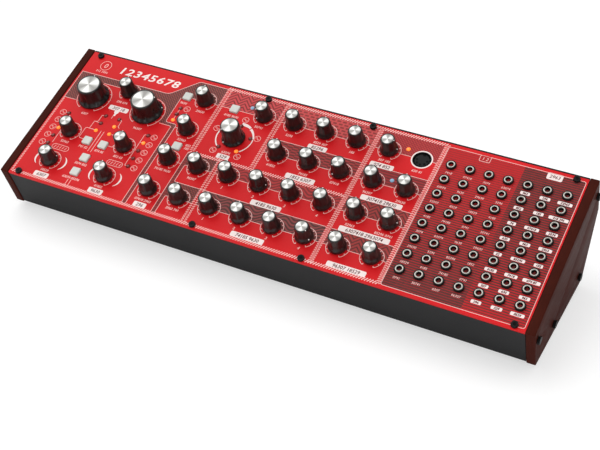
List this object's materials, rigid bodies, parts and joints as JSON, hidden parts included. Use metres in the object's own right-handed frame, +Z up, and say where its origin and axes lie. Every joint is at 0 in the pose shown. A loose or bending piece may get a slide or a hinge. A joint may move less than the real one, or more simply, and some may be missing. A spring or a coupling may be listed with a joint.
{
  "type": "analog synthesizer",
  "caption": "Desktop analog synthesizer with a sloping control panel between two dark cheeks: turning knobs, sprung push buttons, a patch socket field and rear connectors.",
  "frame": {"origin": "on the floor under the middle of the instrument, at the bottom of the rubber feet", "axes": "+X to the right along the instrument, +Y to its back, +Z up; the panel's low front edge faces -Y"},
  "size_m": [0.4244, 0.1344, 0.0905],
  "materials": {
    "panel_paint": "satin red paint with pale printed lines",
    "case_paint": "fine matt charcoal powder coat",
    "cheek_wood": "dark reddish brown, satin",
    "black_steel": "blackened",
    "rail_aluminium": "plain",
    "rubber": "matt",
    "knob_plastic": "black, satin",
    "knob_cap": "spun in circles",
    "button_plastic": "warm grey",
    "indicator_light": "clear lens, some lit",
    "jack_metal": "bright nickel",
    "circuit_board": "green solder mask",
    "socket_plastic": "black moulded"
  },
  "bodies": {
    "case": {"control_panel": "panel_paint", "base_tray": "case_paint", "left_cheek": "cheek_wood", "right_cheek": "cheek_wood", "left_end_plate": "black_steel", "right_end_plate": "black_steel", "front_rail": "rail_aluminium", "rear_rail": "rail_aluminium", "front_left_foot": "rubber", "front_right_foot": "rubber", "rear_left_foot": "rubber", "rear_right_foot": "rubber", "control_board": "circuit_board", "patch_board": "circuit_board", "rear_connector_board": "circuit_board", "midi_in_socket": "socket_plastic"},
    "osc_mix_knob": {"osc_mix_knob": "knob_plastic"},
    "osc1_shape_knob": {"osc1_shape_knob": "knob_plastic"},
    "osc1_width_knob": {"osc1_width_knob": "knob_plastic"},
    "osc2_shape_knob": {"osc2_shape_knob": "knob_plastic"},
    "osc2_width_knob": {"osc2_width_knob": "knob_plastic"},
    "filter_frequency_knob": {"filter_frequency_knob": "knob_plastic"},
    "filter_resonance_knob": {"filter_resonance_knob": "knob_plastic"},
    "filter_modulation_knob": {"filter_modulation_knob": "knob_plastic"},
    "filter_envelope_knob": {"filter_envelope_knob": "knob_plastic"},
    "noise_level_knob": {"noise_level_knob": "knob_plastic"},
    "amplifier_bias_knob": {"amplifier_bias_knob": "knob_plastic"},
    "lfo_rate_knob": {"lfo_rate_knob": "knob_plastic"},
    "delay_time_knob": {"delay_time_knob": "knob_plastic"},
    "delay_repeats_knob": {"delay_repeats_knob": "knob_plastic"},
    "delay_mix_knob": {"delay_mix_knob": "knob_plastic"},
    "drive_knob": {"drive_knob": "knob_plastic"},
    "tone_knob": {"tone_knob": "knob_plastic"},
    "drive_level_knob": {"drive_level_knob": "knob_plastic"},
    "attack_1_knob": {"attack_1_knob": "knob_plastic"},
    "decay_1_knob": {"decay_1_knob": "knob_plastic"},
    "sustain_1_knob": {"sustain_1_knob": "knob_plastic"},
    "release_1_knob": {"release_1_knob": "knob_plastic"},
    "attack_2_knob": {"attack_2_knob": "knob_plastic"},
    "decay_2_knob": {"decay_2_knob": "knob_plastic"},
    "sustain_2_knob": {"sustain_2_knob": "knob_plastic"},
    "release_2_knob": {"release_2_knob": "knob_plastic"},
    "volume_knob": {"volume_knob": "knob_plastic"},
    "sample_rate_knob": {"sample_rate_knob": "knob_plastic"},
    "sample_glide_knob": {"sample_glide_knob": "knob_plastic"},
    "slew_rate_knob": {"slew_rate_knob": "knob_plastic"},
    "portamento_knob": {"portamento_knob": "knob_plastic"},
    "attenuator_1_knob": {"attenuator_1_knob": "knob_plastic"},
    "attenuator_2_knob": {"attenuator_2_knob": "knob_plastic"},
    "osc1_tune_knob": {"osc1_tune_knob": "knob_plastic"},
    "osc2_tune_knob": {"osc2_tune_knob": "knob_plastic"},
    "lfo_shape_knob": {"lfo_shape_knob": "knob_plastic"},
    "osc1_range_button": {"osc1_range_button": "button_plastic"},
    "osc2_range_button": {"osc2_range_button": "button_plastic"},
    "osc_sync_button": {"osc_sync_button": "button_plastic"},
    "two_voice_button": {"two_voice_button": "button_plastic"},
    "filter_mode_button": {"filter_mode_button": "button_plastic"},
    "key_track_button": {"key_track_button": "button_plastic"},
    "key_sync_button": {"key_sync_button": "button_plastic"},
    "power_rocker": {"power_rocker": "knob_plastic"}
  },
  "joints": [
    {"name": "osc_mix_turn", "type": "hinge", "parent": "case", "child": "osc_mix_knob", "pos_m": [-0.1523, 0.02684, 0.07317], "axis": [0, -0.342, 0.9397], "range_deg": [-150, 150]},
    {"name": "osc1_shape_turn", "type": "hinge", "parent": "case", "child": "osc1_shape_knob", "pos_m": [-0.1775, -0.01911, 0.05644], "axis": [0, -0.342, 0.9397], "range_deg": [-135, 165]},
    {"name": "osc1_width_turn", "type": "hinge", "parent": "case", "child": "osc1_width_knob", "pos_m": [-0.1775, -0.04702, 0.04629], "axis": [0, -0.342, 0.9397], "range_deg": [-90, 210]},
    {"name": "osc2_shape_turn", "type": "hinge", "parent": "case", "child": "osc2_shape_knob", "pos_m": [-0.1284, -0.01911, 0.05644], "axis": [0, -0.342, 0.9397], "range_deg": [-150, 150]},
    {"name": "osc2_width_turn", "type": "hinge", "parent": "case", "child": "osc2_width_knob", "pos_m": [-0.1284, -0.04702, 0.04629], "axis": [0, -0.342, 0.9397], "range_deg": [-150, 150]},
    {"name": "filter_frequency_turn", "type": "hinge", "parent": "case", "child": "filter_frequency_knob", "pos_m": [-0.0896, 0.0367, 0.07676], "axis": [0, -0.342, 0.9397], "range_deg": [-150, 150]},
    {"name": "filter_resonance_turn", "type": "hinge", "parent": "case", "child": "filter_resonance_knob", "pos_m": [-0.0896, 0.00879, 0.0666], "axis": [0, -0.342, 0.9397], "range_deg": [-150, 150]},
    {"name": "filter_modulation_turn", "type": "hinge", "parent": "case", "child": "filter_modulation_knob", "pos_m": [-0.0896, -0.01911, 0.05644], "axis": [0, -0.342, 0.9397], "range_deg": [-150, 150]},
    {"name": "filter_envelope_turn", "type": "hinge", "parent": "case", "child": "filter_envelope_knob", "pos_m": [-0.0896, -0.04702, 0.04629], "axis": [0, -0.342, 0.9397], "range_deg": [-150, 150]},
    {"name": "noise_level_turn", "type": "hinge", "parent": "case", "child": "noise_level_knob", "pos_m": [-0.0642, -0.01911, 0.05644], "axis": [0, -0.342, 0.9397], "range_deg": [-150, 150]},
    {"name": "amplifier_bias_turn", "type": "hinge", "parent": "case", "child": "amplifier_bias_knob", "pos_m": [-0.0642, -0.04702, 0.04629], "axis": [0, -0.342, 0.9397], "range_deg": [-150, 150]},
    {"name": "lfo_rate_turn", "type": "hinge", "parent": "case", "child": "lfo_rate_knob", "pos_m": [-0.0388, 0.0367, 0.07676], "axis": [0, -0.342, 0.9397], "range_deg": [-300, 0]},
    {"name": "delay_time_turn", "type": "hinge", "parent": "case", "child": "delay_time_knob", "pos_m": [-0.0134, 0.0367, 0.07676], "axis": [0, -0.342, 0.9397], "range_deg": [-120, 180]},
    {"name": "delay_repeats_turn", "type": "hinge", "parent": "case", "child": "delay_repeats_knob", "pos_m": [0.012, 0.0367, 0.07676], "axis": [0, -0.342, 0.9397], "range_deg": [-150, 150]},
    {"name": "delay_mix_turn", "type": "hinge", "parent": "case", "child": "delay_mix_knob", "pos_m": [0.0374, 0.0367, 0.07676], "axis": [0, -0.342, 0.9397], "range_deg": [-150, 150]},
    {"name": "drive_turn", "type": "hinge", "parent": "case", "child": "drive_knob", "pos_m": [-0.0134, 0.00879, 0.0666], "axis": [0, -0.342, 0.9397], "range_deg": [-150, 150]},
    {"name": "tone_turn", "type": "hinge", "parent": "case", "child": "tone_knob", "pos_m": [0.012, 0.00879, 0.0666], "axis": [0, -0.342, 0.9397], "range_deg": [-150, 150]},
    {"name": "drive_level_turn", "type": "hinge", "parent": "case", "child": "drive_level_knob", "pos_m": [0.0374, 0.00879, 0.0666], "axis": [0, -0.342, 0.9397], "range_deg": [-300, 0]},
    {"name": "attack_1_turn", "type": "hinge", "parent": "case", "child": "attack_1_knob", "pos_m": [-0.0388, -0.01911, 0.05644], "axis": [0, -0.342, 0.9397], "range_deg": [-150, 150]},
    {"name": "decay_1_turn", "type": "hinge", "parent": "case", "child": "decay_1_knob", "pos_m": [-0.0134, -0.01911, 0.05644], "axis": [0, -0.342, 0.9397], "range_deg": [-60, 240]},
    {"name": "sustain_1_turn", "type": "hinge", "parent": "case", "child": "sustain_1_knob", "pos_m": [0.012, -0.01911, 0.05644], "axis": [0, -0.342, 0.9397], "range_deg": [-150, 150]},
    {"name": "release_1_turn", "type": "hinge", "parent": "case", "child": "release_1_knob", "pos_m": [0.0374, -0.01911, 0.05644], "axis": [0, -0.342, 0.9397], "range_deg": [-150, 150]},
    {"name": "attack_2_turn", "type": "hinge", "parent": "case", "child": "attack_2_knob", "pos_m": [-0.0388, -0.04702, 0.04629], "axis": [0, -0.342, 0.9397], "range_deg": [-150, 150]},
    {"name": "decay_2_turn", "type": "hinge", "parent": "case", "child": "decay_2_knob", "pos_m": [-0.0134, -0.04702, 0.04629], "axis": [0, -0.342, 0.9397], "range_deg": [-150, 150]},
    {"name": "sustain_2_turn", "type": "hinge", "parent": "case", "child": "sustain_2_knob", "pos_m": [0.012, -0.04702, 0.04629], "axis": [0, -0.342, 0.9397], "range_deg": [-150, 150]},
    {"name": "release_2_turn", "type": "hinge", "parent": "case", "child": "release_2_knob", "pos_m": [0.0374, -0.04702, 0.04629], "axis": [0, -0.342, 0.9397], "range_deg": [-30, 270]},
    {"name": "volume_turn", "type": "hinge", "parent": "case", "child": "volume_knob", "pos_m": [0.0628, 0.0367, 0.07676], "axis": [0, -0.342, 0.9397], "range_deg": [-60, 240]},
    {"name": "sample_rate_turn", "type": "hinge", "parent": "case", "child": "sample_rate_knob", "pos_m": [0.0628, 0.00879, 0.0666], "axis": [0, -0.342, 0.9397], "range_deg": [-150, 150]},
    {"name": "sample_glide_turn", "type": "hinge", "parent": "case", "child": "sample_glide_knob", "pos_m": [0.0882, 0.00879, 0.0666], "axis": [0, -0.342, 0.9397], "range_deg": [-150, 150]},
    {"name": "slew_rate_turn", "type": "hinge", "parent": "case", "child": "slew_rate_knob", "pos_m": [0.0628, -0.01911, 0.05644], "axis": [0, -0.342, 0.9397], "range_deg": [-150, 150]},
    {"name": "portamento_turn", "type": "hinge", "parent": "case", "child": "portamento_knob", "pos_m": [0.0882, -0.01911, 0.05644], "axis": [0, -0.342, 0.9397], "range_deg": [-60, 240]},
    {"name": "attenuator_1_turn", "type": "hinge", "parent": "case", "child": "attenuator_1_knob", "pos_m": [0.0628, -0.04702, 0.04629], "axis": [0, -0.342, 0.9397], "range_deg": [-210, 90]},
    {"name": "attenuator_2_turn", "type": "hinge", "parent": "case", "child": "attenuator_2_knob", "pos_m": [0.0882, -0.04702, 0.04629], "axis": [0, -0.342, 0.9397], "range_deg": [-150, 150]},
    {"name": "osc1_tune_turn", "type": "hinge", "parent": "case", "child": "osc1_tune_knob", "pos_m": [-0.1775, 0.01453, 0.06869], "axis": [0, -0.342, 0.9397], "range_deg": [-150, 150]},
    {"name": "osc2_tune_turn", "type": "hinge", "parent": "case", "child": "osc2_tune_knob", "pos_m": [-0.1284, 0.01453, 0.06869], "axis": [0, -0.342, 0.9397], "range_deg": [-88, 212]},
    {"name": "lfo_shape_turn", "type": "hinge", "parent": "case", "child": "lfo_shape_knob", "pos_m": [-0.0515, 0.01218, 0.06783], "axis": [0, -0.342, 0.9397], "range_deg": [-295, 5]},
    {"name": "osc1_range_press", "type": "slide", "parent": "case", "child": "osc1_range_button", "axis": [0, 0.342, -0.9397], "range_m": [0, 0.0008], "stiffness_N_per_m": 300, "springref_m": -0.001},
    {"name": "osc2_range_press", "type": "slide", "parent": "case", "child": "osc2_range_button", "axis": [0, 0.342, -0.9397], "range_m": [0, 0.0008], "stiffness_N_per_m": 300, "springref_m": -0.001},
    {"name": "osc_sync_press", "type": "slide", "parent": "case", "child": "osc_sync_button", "axis": [0, 0.342, -0.9397], "range_m": [0, 0.0008], "stiffness_N_per_m": 300, "springref_m": -0.001},
    {"name": "two_voice_press", "type": "slide", "parent": "case", "child": "two_voice_button", "axis": [0, 0.342, -0.9397], "range_m": [0, 0.0008], "stiffness_N_per_m": 300, "springref_m": -0.001},
    {"name": "filter_mode_press", "type": "slide", "parent": "case", "child": "filter_mode_button", "axis": [0, 0.342, -0.9397], "range_m": [0, 0.0008], "stiffness_N_per_m": 300, "springref_m": -0.001},
    {"name": "key_track_press", "type": "slide", "parent": "case", "child": "key_track_button", "axis": [0, 0.342, -0.9397], "range_m": [0, 0.0008], "stiffness_N_per_m": 300, "springref_m": -0.001},
    {"name": "key_sync_press", "type": "slide", "parent": "case", "child": "key_sync_button", "axis": [0, 0.342, -0.9397], "range_m": [0, 0.0008], "stiffness_N_per_m": 300, "springref_m": -0.001},
    {"name": "power_rock", "type": "hinge", "parent": "case", "child": "power_rocker", "pos_m": [0.1712, 0.06384, 0.06243], "axis": [1, 0, 0], "range_deg": [0, 18]}
  ]
}
